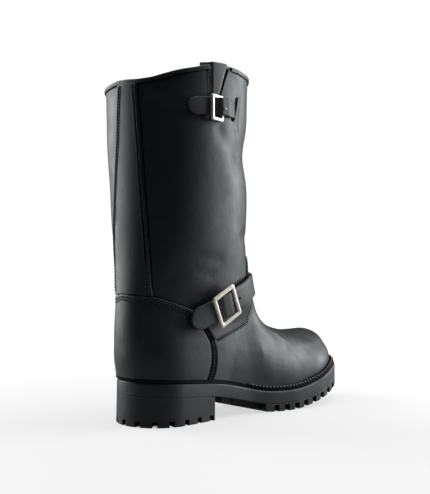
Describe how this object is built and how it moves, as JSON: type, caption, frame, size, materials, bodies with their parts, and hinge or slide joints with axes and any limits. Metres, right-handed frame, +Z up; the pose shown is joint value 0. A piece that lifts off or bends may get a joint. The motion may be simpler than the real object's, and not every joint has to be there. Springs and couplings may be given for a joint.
{
  "type": "engineer boot",
  "caption": "Tall pull-on boot in black leather with a strap and buckle over the instep and one by the collar, on a lugged rubber sole with a block heel.",
  "frame": {"origin": "middle of the heel's flat underside, on the floor plane", "axes": "+X towards the outer side of this right boot, +Y towards the toe, +Z up"},
  "size_m": [0.1391, 0.3168, 0.3494],
  "materials": {
    "black_leather": "greased, soft sheen",
    "black_rubber": "satin",
    "insole_board": "matte",
    "buckle_metal": "polished nickel"
  },
  "bodies": {
    "root": {"upper": "black_leather", "vamp": "black_leather", "counter": "black_leather", "side_strip_outer": "black_leather", "side_strip_inner": "black_leather", "backstay": "black_leather", "collar_binding": "black_leather", "collar_gusset": "black_leather", "collar_strap": "black_leather", "instep_strap": "black_leather", "instep_strap_base": "black_leather", "welt": "black_leather", "insole": "insole_board", "midsole": "black_rubber", "outsole": "black_rubber", "heel": "black_rubber", "instep_buckle": "buckle_metal", "collar_buckle": "buckle_metal"}
  },
  "joints": []
}
